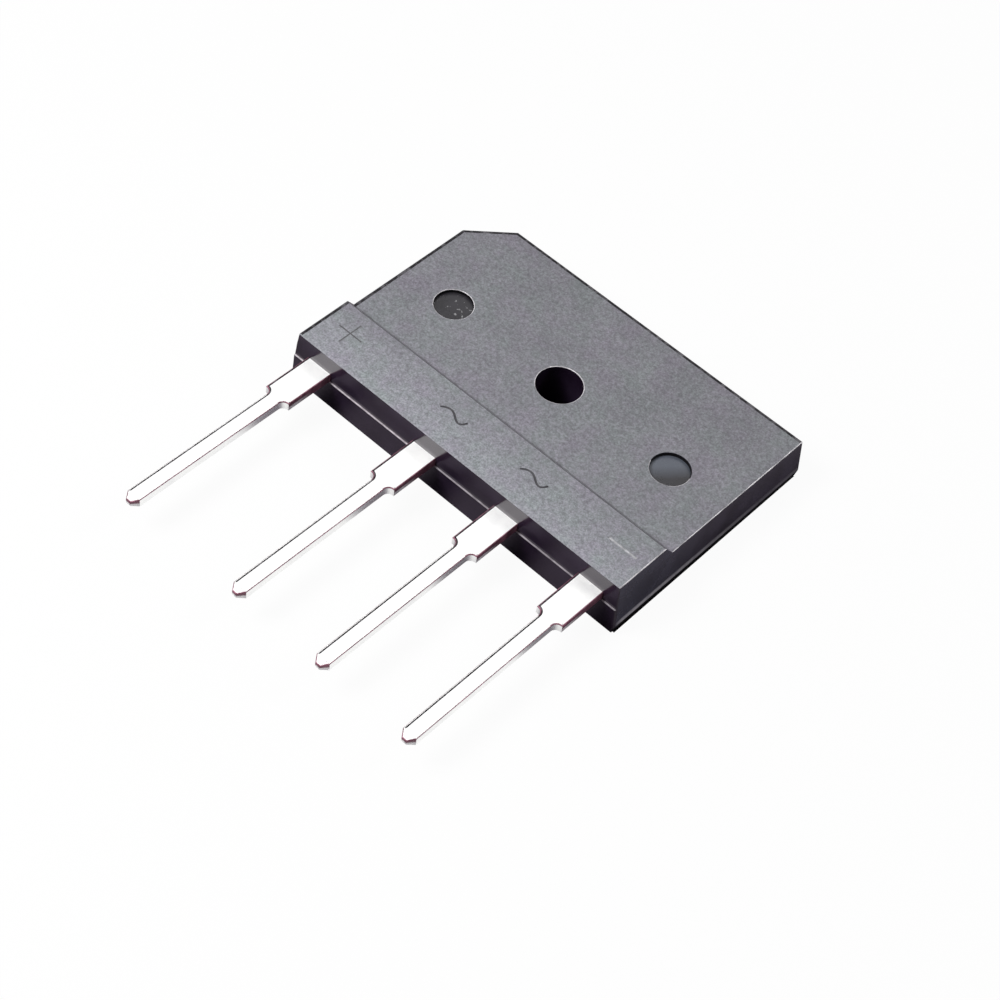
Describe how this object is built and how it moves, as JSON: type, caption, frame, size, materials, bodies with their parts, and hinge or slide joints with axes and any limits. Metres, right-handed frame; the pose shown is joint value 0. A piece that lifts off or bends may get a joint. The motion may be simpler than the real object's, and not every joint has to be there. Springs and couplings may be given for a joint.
{
  "type": "bridge rectifier",
  "caption": "Flat moulded bridge rectifier with a screw hole for a heat sink, a raised strip with polarity marks and a row of shouldered solder leads.",
  "frame": {"origin": "axis of the screw hole in the plane of the heat-sink face", "axes": "+Z from the heat-sink face to the marked side, +X along the row of leads from plus to minus, -Y the way the leads point"},
  "size_m": [0.03, 0.0372, 0.0046],
  "materials": {
    "moulding": "matte",
    "tinned_lead": "satin",
    "silicon": "satin",
    "solder": "satin",
    "copper": "satin"
  },
  "bodies": {
    "root": {"body": "moulding", "plus_terminal": "tinned_lead", "left_ac_terminal": "tinned_lead", "right_ac_terminal": "tinned_lead", "minus_terminal": "tinned_lead", "left_plus_die": "silicon", "left_plus_die_solder": "solder", "left_plus_contact_solder": "solder", "left_plus_jumper": "copper", "left_plus_foot_solder": "solder", "right_plus_die": "silicon", "right_plus_die_solder": "solder", "right_plus_contact_solder": "solder", "right_plus_jumper": "copper", "right_plus_foot_solder": "solder", "left_minus_die": "silicon", "left_minus_die_solder": "solder", "left_minus_contact_solder": "solder", "left_minus_jumper": "copper", "left_minus_foot_solder": "solder", "right_minus_die": "silicon", "right_minus_die_solder": "solder", "right_minus_contact_solder": "solder", "right_minus_jumper": "copper", "right_minus_foot_solder": "solder"}
  },
  "joints": []
}
